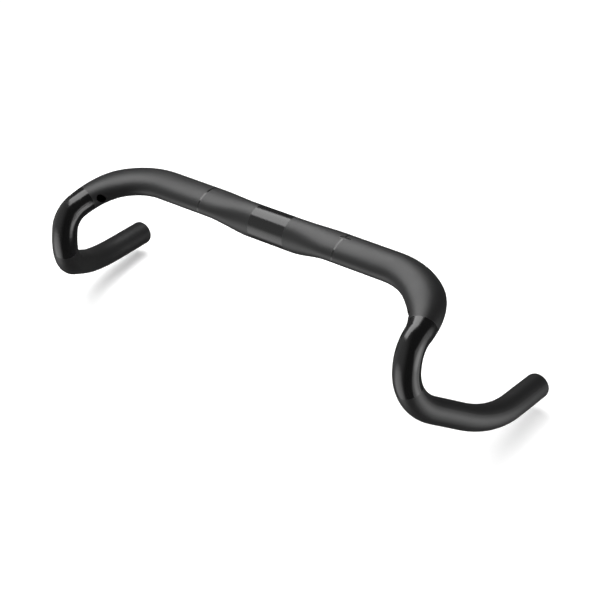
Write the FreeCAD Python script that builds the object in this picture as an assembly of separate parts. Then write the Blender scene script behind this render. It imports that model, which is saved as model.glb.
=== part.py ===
import FreeCAD, Part
import math
import os

# Drop handlebar, in millimetres.
# Origin: the middle of the stem clamp area. +X: the rider's left, -Y: forward, +Z: up.

# Corner points of the left half's axis, from the clamp's middle to the open end of the drop
CLAMP_MIDDLE = (0.0, 0.0, 0.0)
TOPS_CORNER = (185.0, 0.0, 0.0)
RAMP_CORNER = (193.0, -74.0, -10.0)
HOOK_CORNER = (195.0, -85.0, -60.0)
DROP_CORNER = (234.0, -11.0, -114.0)
DROP_END = (237.5, 64.5, -123.0)

# Radii of the bends at the four corners between them
TOPS_BEND_RADIUS = 64.0
RAMP_BEND_RADIUS = 23.0
HOOK_BEND_RADIUS = 48.0
DROP_BEND_RADIUS = 109.0

# Sections
CLAMP_DIAMETER = 31.8
CLAMP_HALF_LENGTH = 24.0
TOPS_WIDTH = 36.2          # fore and aft
TOPS_HEIGHT = 22.4
TOPS_LIFT = 3.6            # the flat section sits this far above the clamp's axis
GRIP_DIAMETER = 24.2
TOPS_START = 68.0          # distance along the axis where the full flat section begins
NECK_START = 174.0         # where it begins to narrow to the round grip
NECK_END = 228.0
CLAMP_WALL = 2.8
BAR_WALL = 1.9

# Bonded joints between the centre section and the drop sections
JOINT_AT = 76.0
SLEEVE_HALF_LENGTH = 22.0
SLEEVE_WALL = 1.6
BOND_GAP = 0.1

# Cable ports: one on the inside of each tops bend, one under each top beside the clamp
PORT_AT = 201.8
PORT_LENGTH = 10.0
PORT_WIDTH = 7.0
PORT_SLANT = 55.0          # degrees from the bar's axis to the bend port's long side
EXIT_PORT_AT = 44.0

# End plugs. Distances are measured outward from the open end of the drop.
CAP_RADIUS = 11.8
CAP_THICKNESS = 2.2
CAP_EDGE_ROUND = 1.2
CAP_SEAT_GAP = 0.05
PLUG_CLEARANCE = 0.08
SPIGOT_RADIUS = GRIP_DIAMETER / 2 - BAR_WALL - PLUG_CLEARANCE
SPIGOT_END = -5.0
FACE_GROOVE_RADIUS = 8.6
FACE_GROOVE_WIDTH = 0.7
FACE_GROOVE_DEPTH = 0.4
SCREW_RADIUS = 2.0
SCREW_END = -28.0
SCREW_HOLE_RADIUS = 2.08
SCREW_HEAD_RADIUS = 3.5
SCREW_HEAD_LENGTH = 4.0
SCREW_HEAD_TOP = 1.6
SCREW_HEAD_CHAMFER = 0.4
SCREW_TIP_CHAMFER = 0.6
HEAD_POCKET_RADIUS = 3.9
HEAD_SEAT_GAP = 0.05
HEX_ACROSS_FLATS = 3.0
HEX_DEPTH = 2.4
EXPANDER_START = -5.05
EXPANDER_END = -19.0
EXPANDER_BORE_RADIUS = 5.6
CONE_START = -10.5
CONE_MOUTH_RADIUS = 8.9
CONE_GAP = 0.15
SLIT_WIDTH = 1.4
SLIT_START = -9.0
SLIT_COUNT = 4
NUT_HOLE_RADIUS = 2.06
NUT_END = -22.5
NUT_RIB_WIDTH = 1.0
NUT_RIB_RADIUS = 9.7
NUT_CORNER_ROUND = 0.6

# Lofted stretches have a section at least this often along the axis
SECTION_SPACING = 6.0
MIN_SECTIONS = 5

# Two lengths closer than this are the same
SAME = 1e-6

V = FreeCAD.Vector
Placement = FreeCAD.Placement
Rotation = FreeCAD.Rotation
ORIGIN = V(0, 0, 0)
ALONG = V(1, 0, 0)
UP = V(0, 0, 1)

# Turns a shape drawn in the XY plane into the section plane: X to the width, Y to the height
IN_SECTION = Rotation(V(0, 1, 0), V(0, 0, 1), V(1, 0, 0))


class Run:
    """A straight stretch or an arc of the bar's axis. Local +X is along it, +Y is the width."""

    def __init__(self, start, length, bend_centre=None, bend_axis=None, radius=None):
        self.start = start
        self.length = length
        self.bend_centre = bend_centre
        self.bend_axis = bend_axis
        self.radius = radius

    def turned(self, distance):
        return math.degrees(distance / self.radius)

    def place(self, distance):
        if self.radius is None:
            ahead = self.start.Rotation.multVec(ALONG) * distance
            return Placement(self.start.Base + ahead, self.start.Rotation)
        turn = Rotation(self.bend_axis, self.turned(distance))
        return Placement(ORIGIN, turn, self.bend_centre).multiply(self.start)


def axis_runs():
    """The left half's axis: straight runs joined by tangent arcs."""
    corners = [V(*point) for point in (CLAMP_MIDDLE, TOPS_CORNER, RAMP_CORNER, HOOK_CORNER,
                                       DROP_CORNER, DROP_END)]
    radii = [TOPS_BEND_RADIUS, RAMP_BEND_RADIUS, HOOK_BEND_RADIUS, DROP_BEND_RADIUS]
    runs = []
    here = Placement(corners[0], Rotation())
    for number, radius in enumerate(radii, start=1):
        arriving = (corners[number] - corners[number - 1]).normalize()
        leaving = (corners[number + 1] - corners[number]).normalize()
        turn = arriving.getAngle(leaving)
        straight = (corners[number] - here.Base).Length - radius * math.tan(turn / 2)
        runs.append(Run(here, straight))
        here = runs[-1].place(straight)
        bend_axis = arriving.cross(leaving).normalize()
        centre = here.Base + bend_axis.cross(arriving) * radius
        runs.append(Run(here, radius * turn, centre, bend_axis, radius))
        here = runs[-1].place(radius * turn)
    runs.append(Run(here, (corners[-1] - here.Base).Length))
    return runs


RUNS = axis_runs()
BAR_END = sum(run.length for run in RUNS)


def run_at(distance):
    """The run that holds a distance along the axis, and where that run begins."""
    begins = 0.0
    for run in RUNS[:-1]:
        if distance < begins + run.length:
            return run, begins
        begins += run.length
    return RUNS[-1], begins


def place(distance):
    run, begins = run_at(distance)
    return run.place(distance - begins)


def ease(distance, start, end):
    """0 before start, 1 after end, with a level slope at both."""
    t = min(max((distance - start) / (end - start), 0.0), 1.0)
    return t * t * (3 - 2 * t)


def blend(before, after, share):
    return before + (after - before) * share


def section(distance):
    """Width, height and lift of the outside at a distance along the axis."""
    flat = ease(distance, CLAMP_HALF_LENGTH, TOPS_START)
    round_again = ease(distance, NECK_START, NECK_END)
    width = blend(blend(CLAMP_DIAMETER, TOPS_WIDTH, flat), GRIP_DIAMETER, round_again)
    height = blend(blend(CLAMP_DIAMETER, TOPS_HEIGHT, flat), GRIP_DIAMETER, round_again)
    return width, height, TOPS_LIFT * flat * (1 - round_again)


def outside(distance):
    return 0.0


def bore(distance):
    return blend(CLAMP_WALL, BAR_WALL, ease(distance, CLAMP_HALF_LENGTH, TOPS_START))


def sleeve_outside(distance):
    return bore(distance) + BOND_GAP


def sleeve_bore(distance):
    return sleeve_outside(distance) + SLEEVE_WALL


def outline(distance, inset):
    """The section's circle or ellipse, drawn in by inset(distance)."""
    width, height, lift = section(distance)
    depth = inset(distance)
    if width == height:
        curve = Part.Circle(ORIGIN, UP, width / 2 - depth)
    else:
        curve = Part.Ellipse(ORIGIN, width / 2 - depth, height / 2 - depth)
    wire = Part.Wire([curve.toShape()])
    wire.Placement = place(distance).multiply(Placement(V(0, 0, lift), IN_SECTION))
    return wire


def is_constant(start, end):
    return section(start) == section(end)


def stretch(start, end, inset):
    """The solid between two distances on one run, its section constant or changing smoothly."""
    run = run_at((start + end) / 2)[0]
    if is_constant(start, end):
        face = Part.Face(outline(start, inset))
        if run.radius is None:
            return face.extrude(run.start.Rotation.multVec(ALONG) * (end - start))
        return face.revolve(run.bend_centre, run.bend_axis, run.turned(end - start))
    count = max(MIN_SECTIONS, math.ceil((end - start) / SECTION_SPACING) + 1)
    steps = [start + (end - start) * n / (count - 1) for n in range(count)]
    return Part.makeLoft([outline(step, inset) for step in steps], True)


def joined(shapes):
    first, rest = shapes[0], shapes[1:]
    return first.fuse(rest).removeSplitter() if rest else first


def bar_solid(start, end, inset):
    """The solid of the left half between two distances, made of its stretches."""
    breaks = {start, end, CLAMP_HALF_LENGTH, TOPS_START, NECK_START, NECK_END}
    begins = 0.0
    for run in RUNS:
        breaks.add(begins)
        begins += run.length
    inside = sorted(b for b in breaks if start <= b <= end)
    return joined([stretch(a, b, inset) for a, b in zip(inside, inside[1:])])


def tube(start, end, outer, inner):
    return bar_solid(start, end, outer).cut(bar_solid(start, end, inner))


def port_cutter(distance, facing, long_side):
    """An oval bar that cuts a cable port. Both directions are the section's own."""
    straight = PORT_LENGTH - PORT_WIDTH
    reach = TOPS_WIDTH
    ends = [Part.makeCylinder(PORT_WIDTH / 2, reach, V(side * straight / 2, 0, 0)) for side in (-1, 1)]
    middle = Part.makeBox(straight, PORT_WIDTH, reach, V(-straight / 2, -PORT_WIDTH / 2, 0))
    cutter = joined([middle] + ends)
    lift = V(0, 0, section(distance)[2])
    turned = Rotation(long_side, facing.cross(long_side), facing)
    cutter.Placement = place(distance).multiply(Placement(lift, turned))
    return cutter


def other_side(shape):
    """The same piece on the rider's right."""
    return shape.mirror(ORIGIN, ALONG)


def centre_section():
    """Clamp area and the start of both tops, with a cable exit port under each."""
    half = tube(0, JOINT_AT, outside, bore).cut(port_cutter(EXIT_PORT_AT, V(0, 0, -1), ALONG))
    return joined([half, other_side(half)])


def drop_section():
    """Top, corner, ramp, hook and drop of one side, open at the end."""
    slant = math.radians(PORT_SLANT)
    long_side = V(math.cos(slant), 0, math.sin(slant))
    port = port_cutter(PORT_AT, V(0, -1, 0), long_side)
    return tube(JOINT_AT, BAR_END, outside, bore).cut(port)


def joint_sleeve():
    """The inner sleeve bonded across the joint of centre section and drop section."""
    start, end = JOINT_AT - SLEEVE_HALF_LENGTH, JOINT_AT + SLEEVE_HALF_LENGTH
    return tube(start, end, sleeve_outside, sleeve_bore)


def rod(radius, start, end):
    """A cylinder along the plug's axis."""
    low, high = min(start, end), max(start, end)
    return Part.makeCylinder(radius, high - low, V(low, 0, 0), ALONG)


def cone(start_radius, end_radius, start, end):
    """A cone along the plug's axis, from start inward to end."""
    return Part.makeCone(start_radius, end_radius, start - end, V(start, 0, 0), -ALONG)


def rims(shape, radius, at):
    """Circles of one radius about the plug's axis, at one distance along it."""
    return [edge for edge in shape.Edges
            if isinstance(edge.Curve, Part.Circle)
            and abs(edge.Curve.Radius - radius) < SAME
            and abs(edge.Curve.Center.x - at) < SAME]


def spokes(count, width, reach, start, end):
    """Thin plates that stand out from the plug's axis, evenly spaced."""
    plates = []
    for number in range(count):
        plate = Part.makeBox(start - end, width, reach, V(end, -width / 2, 0))
        plate.rotate(ORIGIN, ALONG, number * 360.0 / count)
        plates.append(plate)
    return plates


def plug_cap():
    """Domed cap with a spigot in the tube, a pocket for the screw head and a groove on its face."""
    top = CAP_SEAT_GAP + CAP_THICKNESS
    flange = rod(CAP_RADIUS, CAP_SEAT_GAP, top)
    flange = flange.makeFillet(CAP_EDGE_ROUND, rims(flange, CAP_RADIUS, top))
    groove = rod(FACE_GROOVE_RADIUS + FACE_GROOVE_WIDTH, top - FACE_GROOVE_DEPTH, top)
    groove = groove.cut(rod(FACE_GROOVE_RADIUS, top - FACE_GROOVE_DEPTH, top))
    pocket_floor = SCREW_HEAD_TOP - SCREW_HEAD_LENGTH - HEAD_SEAT_GAP
    cap = joined([flange, rod(SPIGOT_RADIUS, SPIGOT_END, CAP_SEAT_GAP)])
    cap = cap.cut([groove, rod(HEAD_POCKET_RADIUS, pocket_floor, top),
                   rod(SCREW_HOLE_RADIUS, SPIGOT_END, top)])
    return cap


def expander_sleeve():
    """Rubber sleeve that the wedge nut spreads against the tube, slit so that it can open."""
    sleeve = rod(SPIGOT_RADIUS, EXPANDER_START, EXPANDER_END)
    hollow = [rod(EXPANDER_BORE_RADIUS, EXPANDER_START, EXPANDER_END),
              cone(EXPANDER_BORE_RADIUS, CONE_MOUTH_RADIUS, CONE_START, EXPANDER_END)]
    slits = spokes(SLIT_COUNT, SLIT_WIDTH, SPIGOT_RADIUS * 2, SLIT_START, EXPANDER_END)
    return sleeve.cut(hollow + slits)


def wedge_nut():
    """Tapered nut behind the sleeve. Its ribs run in two of the slits and stop it turning."""
    body = joined([cone(EXPANDER_BORE_RADIUS - CONE_GAP, CONE_MOUTH_RADIUS - CONE_GAP,
                        CONE_START, EXPANDER_END),
                   rod(CONE_MOUTH_RADIUS - CONE_GAP, EXPANDER_END, NUT_END)])
    rounded = rims(body, CONE_MOUTH_RADIUS - CONE_GAP, NUT_END)
    body = body.makeFillet(NUT_CORNER_ROUND, rounded)
    rim = rod(NUT_RIB_RADIUS, CONE_START, NUT_END + NUT_CORNER_ROUND)
    ribs = [plate.common(rim) for plate in
            spokes(2, NUT_RIB_WIDTH, SPIGOT_RADIUS, CONE_START, NUT_END)]
    return joined([body] + ribs).cut(rod(NUT_HOLE_RADIUS, CONE_START, NUT_END))


def plug_screw():
    """Socket-head screw: its head in the cap's pocket, its shank through sleeve and nut."""
    head_bottom = SCREW_HEAD_TOP - SCREW_HEAD_LENGTH
    head = rod(SCREW_HEAD_RADIUS, head_bottom, SCREW_HEAD_TOP)
    head_rim = rims(head, SCREW_HEAD_RADIUS, SCREW_HEAD_TOP)
    head = head.makeChamfer(SCREW_HEAD_CHAMFER, head_rim)
    shank = rod(SCREW_RADIUS, SCREW_END, head_bottom)
    tip_rim = rims(shank, SCREW_RADIUS, SCREW_END)
    shank = shank.makeChamfer(SCREW_TIP_CHAMFER, tip_rim)
    corner = HEX_ACROSS_FLATS / math.sqrt(3)
    points = [V(SCREW_HEAD_TOP, corner * math.cos(math.radians(60 * n)),
                corner * math.sin(math.radians(60 * n))) for n in range(7)]
    socket = Part.Face(Part.makePolygon(points)).extrude(ALONG * -HEX_DEPTH)
    return joined([head, shank]).cut(socket)


def at_bar_end(shape):
    """Moves a plug piece from its own axis to the open end of the left drop."""
    moved = shape.copy()
    moved.Placement = place(BAR_END).multiply(shape.Placement)
    return moved


def write(name, shape):
    solids = shape.Solids
    assert shape.isValid() and len(solids) == 1, name
    solids[0].exportStep(os.path.join("parts", name + ".step"))


def main():
    os.makedirs("parts", exist_ok=True)
    write("centre_section", centre_section())
    paired = {
        "drop_section": drop_section(),
        "joint_sleeve": joint_sleeve(),
        "plug_cap": at_bar_end(plug_cap()),
        "plug_expander": at_bar_end(expander_sleeve()),
        "plug_wedge_nut": at_bar_end(wedge_nut()),
        "plug_screw": at_bar_end(plug_screw()),
    }
    for name, shape in paired.items():
        write("left_" + name, shape)
        write("right_" + name, other_side(shape))


main()
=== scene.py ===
"""Looks for the drop handlebar: painted composite with gloss bands, end plugs, studio."""
import math

import bpy
from mathutils import Matrix, Vector


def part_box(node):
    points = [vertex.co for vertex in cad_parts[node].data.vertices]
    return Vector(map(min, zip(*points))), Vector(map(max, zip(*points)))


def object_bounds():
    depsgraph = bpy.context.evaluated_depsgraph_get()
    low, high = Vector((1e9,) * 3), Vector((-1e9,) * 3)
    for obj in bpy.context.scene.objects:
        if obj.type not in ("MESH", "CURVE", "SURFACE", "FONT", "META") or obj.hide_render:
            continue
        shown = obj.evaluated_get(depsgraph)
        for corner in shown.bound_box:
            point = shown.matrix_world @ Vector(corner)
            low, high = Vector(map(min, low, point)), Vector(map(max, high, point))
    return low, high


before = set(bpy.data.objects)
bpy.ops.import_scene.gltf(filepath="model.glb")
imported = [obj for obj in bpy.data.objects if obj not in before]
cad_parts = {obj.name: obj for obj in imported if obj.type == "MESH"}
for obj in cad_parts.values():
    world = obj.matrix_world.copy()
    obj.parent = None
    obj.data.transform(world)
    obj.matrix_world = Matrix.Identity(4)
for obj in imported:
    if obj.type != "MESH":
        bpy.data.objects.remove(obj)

cad_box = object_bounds()

SIDES = ("left", "right")
WHITE = (1.0, 1.0, 1.0)
OVERHEAD = Vector((0.0, 0.0, 1.0))

# Camera, in degrees and metres. Azimuth 0 looks along +Y.
CAMERA_AZIMUTH = 38.93
CAMERA_ELEVATION = 35.43
CAMERA_ROLL = -3.81
CAMERA_DISTANCE = 1.3971
AIM_RIGHT = 0.0182         # the point looked at, from the clamp's middle, across the view
AIM_UP = -0.0666           # and up it
LENS_MM = 92.71
SENSOR_MM = 36.0

# Paint. Scales are repeats per metre, grains are bump strengths, and GRAIN_DEPTH is in metres.
MATTE_BLACK = (0.0050, 0.0050, 0.0052)
GLOSS_BLACK = (0.0020, 0.0020, 0.0021)
MATTE_ROUGHNESS = 0.46
GLOSS_ROUGHNESS = 0.18
PAINT_SPREAD = 0.02        # how far the paint's roughness varies either way
CLOUD_SCALE = 60.0
PAINT_GRAIN_SCALE = 2600.0
MATTE_GRAIN = 0.10
GLOSS_GRAIN = 0.02
GRAIN_DEPTH = 0.0001

# The smaller pieces: colour, roughness and grain scale, and what varies in them
COMPOSITE = ((0.030, 0.030, 0.030), 0.40, 700.0)
NYLON = ((0.014, 0.014, 0.014), 0.50, 1800.0)
RUBBER = ((0.020, 0.020, 0.020), 0.65, 1200.0)
OXIDE_STEEL = ((0.080, 0.080, 0.085), 0.35, 900.0)
TURNED_ALLOY = ((0.520, 0.520, 0.535), 0.32, 900.0)
PLASTIC_SPREAD = 0.05
PLASTIC_GRAIN = 0.25
PLASTIC_MOTTLE_SCALE = 90.0
PLASTIC_MOTTLE = 1.4       # the lighter patches' colour over the darker ones'
METAL_SPREAD = 0.06
METAL_GRAIN = 0.06
TURNING_PITCH = 0.0003     # the lathe's rings, along the plug's axis
TURNING_GRAIN = 0.15
PLUG_AXIS = Vector((0.0460, 0.9919, -0.1182))

# Gloss areas, in metres: a band round the clamp, a line round each joint, a patch on each hook
# between two planes square to the bar there, and a small mark, which is a superellipse
CLAMP_BAND_HALF = 0.0195
JOINT_LINE_HALF = 0.0009
PATCH_START = Vector((0.1895, -0.04771, -0.00645))
PATCH_START_AXIS = Vector((0.2477, -0.9601, -0.1297))
PATCH_END = Vector((0.19619, -0.07862, -0.04852))
PATCH_END_AXIS = Vector((0.2011, 0.1665, -0.9653))
MARK_CENTRE = (0.0772, 0.0020)
MARK_HALF = (0.0055, 0.0018)
MARK_POWERS = (6.0, 3.0)

# Studio, in metres and watts. Directions are degrees of azimuth from -Y towards +X, and of
# elevation. Two softboxes stand near the bar. The fill hangs over the floor and leaves no
# reflection. The other lights are soft areas of the surroundings: azimuth, elevation, the angle
# from its middle at which each has faded out, radiance.
FLOOR_GREY = (0.85, 0.85, 0.85)
FLOOR_GLOW = 0.35          # how strongly it shines by itself
FLOOR_ROUGHNESS = 0.9
FLOOR_SIZE = 12.0
FLOOR_GAP = 0.010          # under the bar at rest, so that a plug drawn out clears the floor
SURROUNDINGS = 0.093       # radiance away from the soft areas
KEY_DIRECTION = (-122.0, 61.0)
KEY_DISTANCE = 0.5
KEY_SIZE = (0.64, 0.42)
KEY_POWER = 3.9
SIDE_DIRECTION = (93.4, -12.2)
SIDE_DISTANCE = 0.51
SIDE_SIZE = (0.40, 0.56)
SIDE_POWER = 0.9
FILL_DISTANCE = 2.5
FILL_SIZE = (4.0, 4.0)
FILL_POWER = 85.0
SOFT_AREAS = (
    (103.0, -10.0, 26.0, 2.8),
    (-33.0, -34.5, 36.4, 1.8),
    (-49.0, 10.0, 77.0, 0.57),
)


class Nodes:
    """A short way to make shader nodes and join them, in a material or a world."""

    def __init__(self, owner, shader="Principled BSDF"):
        owner.use_nodes = True
        self.tree = owner.node_tree
        self.shader = self.tree.nodes[shader]

    def link(self, value, socket):
        """A socket is joined to this one, and a plain value is set on it."""
        if hasattr(value, "is_output"):
            self.tree.links.new(value, socket)
        else:
            socket.default_value = value

    def add(self, kind, values=(), **settings):
        node = self.tree.nodes.new(kind)
        for key, setting in settings.items():
            setattr(node, key, setting)
        for socket, value in dict(values).items():
            self.link(value, node.inputs[socket])
        return node

    def math(self, operation, *values):
        values = dict(enumerate(values))
        return self.add("ShaderNodeMath", values, operation=operation).outputs["Value"]

    def dot(self, a, b):
        node = self.add("ShaderNodeVectorMath", {0: a, 1: b}, operation="DOT_PRODUCT")
        return node.outputs["Value"]

    def mix(self, share, a, b, kind="FLOAT"):
        """a where share is 0 and b where it is 1. Only the sockets of the mixed kind are used."""
        node = self.add("ShaderNodeMix", {"Factor": share}, data_type=kind)
        wanted = {"FLOAT": "VALUE", "RGBA": "RGBA"}[kind]
        ends = [socket for socket in node.inputs
                if socket.type == wanted and socket.name in ("A", "B")]
        for value, end in zip((a, b), ends):
            self.link(value, end)
        return next(socket for socket in node.outputs if socket.type == wanted)

    def position(self):
        return self.add("ShaderNodeTexCoord").outputs["Object"]

    def coordinates(self):
        split = self.add("ShaderNodeSeparateXYZ", {"Vector": self.position()}).outputs
        return split["X"], split["Y"], split["Z"]

    def on_left(self):
        """The point as a vector, mirrored to the rider's left if it is on the right."""
        x, y, z = self.coordinates()
        values = {"X": self.math("ABSOLUTE", x), "Y": y, "Z": z}
        return self.add("ShaderNodeCombineXYZ", values).outputs["Vector"]

    def noise(self, scale):
        values = {"Vector": self.position(), "Scale": scale}
        return self.add("ShaderNodeTexNoise", values).outputs["Fac"]

    def spread(self, share, middle, either_way):
        return self.mix(share, middle - either_way, middle + either_way)

    def bump(self, height, strength):
        values = {"Height": height, "Strength": strength, "Distance": GRAIN_DEPTH}
        return self.add("ShaderNodeBump", values).outputs["Normal"]

    def set(self, **values):
        for name, value in values.items():
            self.link(value, self.shader.inputs[name.replace("_", " ")])


def opaque(colour):
    return (*colour, 1.0)


def hook_patch(nodes):
    """1 between the two planes round each hook, and 0 elsewhere."""
    point = nodes.on_left()
    past_start = nodes.math("GREATER_THAN", nodes.dot(point, PATCH_START_AXIS),
                            PATCH_START.dot(PATCH_START_AXIS))
    before_end = nodes.math("LESS_THAN", nodes.dot(point, PATCH_END_AXIS),
                            PATCH_END.dot(PATCH_END_AXIS))
    return nodes.math("MULTIPLY", past_start, before_end)


def mark(nodes, x, y, z):
    """1 in the small mark on the rider's left top, and 0 elsewhere."""
    terms = []
    for value, centre, half, power in zip((x, y), MARK_CENTRE, MARK_HALF, MARK_POWERS):
        share = nodes.math("DIVIDE", nodes.math("SUBTRACT", value, centre), half)
        terms.append(nodes.math("POWER", nodes.math("ABSOLUTE", share), power))
    inside = nodes.math("LESS_THAN", nodes.math("ADD", *terms), 1.0)
    return nodes.math("MULTIPLY", inside, nodes.math("GREATER_THAN", z, 0.0))


def gloss_areas(nodes):
    """1 on the clamp band, the joint lines, the hooks' patches and the mark, and 0 elsewhere."""
    x, y, z = nodes.coordinates()
    out = nodes.math("ABSOLUTE", x)
    clamp_band = nodes.math("LESS_THAN", out, CLAMP_BAND_HALF)
    joint_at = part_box("left_drop_section")[0].x
    off_joint = nodes.math("ABSOLUTE", nodes.math("SUBTRACT", out, joint_at))
    joint_line = nodes.math("LESS_THAN", off_joint, JOINT_LINE_HALF)
    return nodes.math("MAXIMUM", nodes.math("MAXIMUM", clamp_band, joint_line),
                      nodes.math("MAXIMUM", hook_patch(nodes), mark(nodes, x, y, z)))


def paint(name):
    """Black paint, matte but for the gloss areas."""
    material = bpy.data.materials.new(name)
    nodes = Nodes(material)
    gloss = gloss_areas(nodes)
    cloud = nodes.noise(CLOUD_SCALE)
    matte = nodes.spread(cloud, MATTE_ROUGHNESS, PAINT_SPREAD)
    glossy = nodes.spread(cloud, GLOSS_ROUGHNESS, PAINT_SPREAD)
    strength = nodes.mix(gloss, MATTE_GRAIN, GLOSS_GRAIN)
    nodes.set(Base_Color=nodes.mix(gloss, opaque(MATTE_BLACK), opaque(GLOSS_BLACK), "RGBA"),
              Roughness=nodes.mix(gloss, matte, glossy),
              Normal=nodes.bump(nodes.noise(PAINT_GRAIN_SCALE), strength))
    return material


def plastic(name, colour, roughness, grain_scale):
    """Moulded plastic, rubber or composite, lightly mottled, with a fine grain."""
    material = bpy.data.materials.new(name)
    nodes = Nodes(material)
    grain = nodes.noise(grain_scale)
    lighter = [PLASTIC_MOTTLE * part for part in colour]
    mottle = nodes.noise(PLASTIC_MOTTLE_SCALE)
    nodes.set(Base_Color=nodes.mix(mottle, opaque(colour), opaque(lighter), "RGBA"),
              Roughness=nodes.spread(grain, roughness, PLASTIC_SPREAD),
              Normal=nodes.bump(grain, PLASTIC_GRAIN))
    return material


def metal(name, colour, roughness, grain_scale):
    """Turned metal, with the lathe's rings across the plug's axis."""
    material = bpy.data.materials.new(name)
    nodes = Nodes(material)
    along = nodes.dot(nodes.on_left(), PLUG_AXIS)
    rings = nodes.math("SINE", nodes.math("MULTIPLY", along, math.tau / TURNING_PITCH))
    grain = nodes.noise(grain_scale)
    height = nodes.math("MULTIPLY_ADD", rings, TURNING_GRAIN, grain)
    nodes.set(Base_Color=opaque(colour), Metallic=1.0,
              Roughness=nodes.spread(grain, roughness, METAL_SPREAD),
              Normal=nodes.bump(height, METAL_GRAIN))
    return material


def dress(node, material):
    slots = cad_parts[node].data.materials
    slots.clear()
    slots.append(material)


def finishes():
    bar = paint("bar_paint")
    dress("centre_section", bar)
    by_piece = {
        "drop_section": bar,
        "joint_sleeve": plastic("bare_composite", *COMPOSITE),
        "plug_cap": plastic("cap_nylon", *NYLON),
        "plug_expander": plastic("expander_rubber", *RUBBER),
        "plug_screw": metal("black_oxide_steel", *OXIDE_STEEL),
        "plug_wedge_nut": metal("turned_alloy", *TURNED_ALLOY),
    }
    for piece, material in by_piece.items():
        for side in SIDES:
            dress(f"{side}_{piece}", material)


def floor():
    """A pale floor that glows a little, isn't seen by reflections and blocks no light."""
    half = FLOOR_SIZE / 2
    low = cad_box[0].z - FLOOR_GAP
    corners = [(-half, -half, low), (half, -half, low), (half, half, low), (-half, half, low)]
    mesh = bpy.data.meshes.new("floor")
    mesh.from_pydata(corners, [], [(0, 1, 2, 3)])
    piece = bpy.data.objects.new("floor", mesh)
    bpy.context.collection.objects.link(piece)
    paper = bpy.data.materials.new("floor_paper")
    Nodes(paper).set(Base_Color=opaque(FLOOR_GREY), Roughness=FLOOR_ROUGHNESS,
                     Emission_Color=opaque(FLOOR_GREY), Emission_Strength=FLOOR_GLOW)
    mesh.materials.append(paper)
    piece.visible_glossy = False
    piece.visible_shadow = False


def direction(azimuth, elevation):
    """The unit vector that points from the clamp's middle, from angles in degrees."""
    turn, rise = math.radians(azimuth), math.radians(elevation)
    level = math.cos(rise)
    return Vector((math.sin(turn) * level, -math.cos(turn) * level, math.sin(rise)))


def softbox(name, towards, distance, size, power):
    """A rectangular lamp that faces the clamp's middle from one direction."""
    data = bpy.data.lights.new(name, "AREA")
    data.shape = "RECTANGLE"
    data.size, data.size_y = size
    data.energy = power
    lamp = bpy.data.objects.new(name, data)
    lamp.location = towards * distance
    lamp.rotation_mode = "QUATERNION"
    lamp.rotation_quaternion = (-towards).to_track_quat("-Z", "Y")
    lamp.visible_camera = False
    bpy.context.collection.objects.link(lamp)
    return lamp


def surroundings():
    """Dim grey surroundings with soft bright areas."""
    world = bpy.data.worlds.new("studio")
    bpy.context.scene.world = world
    nodes = Nodes(world, "Background")
    facing = nodes.add("ShaderNodeTexCoord").outputs["Generated"]
    total = SURROUNDINGS
    for azimuth, elevation, faded_at, radiance in SOFT_AREAS:
        towards = nodes.dot(facing, direction(azimuth, elevation))
        values = {"Value": towards, "From Min": math.cos(math.radians(faded_at)),
                  "From Max": 1.0, "To Max": radiance}
        spot = nodes.add("ShaderNodeMapRange", values, interpolation_type="SMOOTHSTEP")
        total = nodes.math("ADD", spot.outputs["Result"], total)
    nodes.set(Strength=total, Color=opaque(WHITE))


def studio():
    floor()
    softbox("key", direction(*KEY_DIRECTION), KEY_DISTANCE, KEY_SIZE, KEY_POWER)
    softbox("side", direction(*SIDE_DIRECTION), SIDE_DISTANCE, SIDE_SIZE, SIDE_POWER)
    fill = softbox("fill", OVERHEAD, FILL_DISTANCE, FILL_SIZE, FILL_POWER)
    fill.visible_glossy = False
    surroundings()
    bpy.context.scene.view_settings.view_transform = "Standard"


def camera():
    """The photo's camera, which looks at the aim point and is rolled a little."""
    roll = math.radians(CAMERA_ROLL)
    back = direction(CAMERA_AZIMUTH, CAMERA_ELEVATION)
    right = direction(CAMERA_AZIMUTH + 90.0, 0.0)
    up = back.cross(right)
    place = right * AIM_RIGHT + up * AIM_UP + back * CAMERA_DISTANCE
    rolled_right = right * math.cos(roll) + up * math.sin(roll)
    rolled_up = up * math.cos(roll) - right * math.sin(roll)
    data = bpy.data.cameras.new("camera")
    data.lens, data.sensor_width = LENS_MM, SENSOR_MM
    eye = bpy.data.objects.new("camera", data)
    axes = Matrix((rolled_right, rolled_up, back)).transposed()
    eye.matrix_world = Matrix.Translation(place) @ axes.to_4x4()
    bpy.context.collection.objects.link(eye)
    bpy.context.scene.camera = eye


camera()
finishes()
studio()
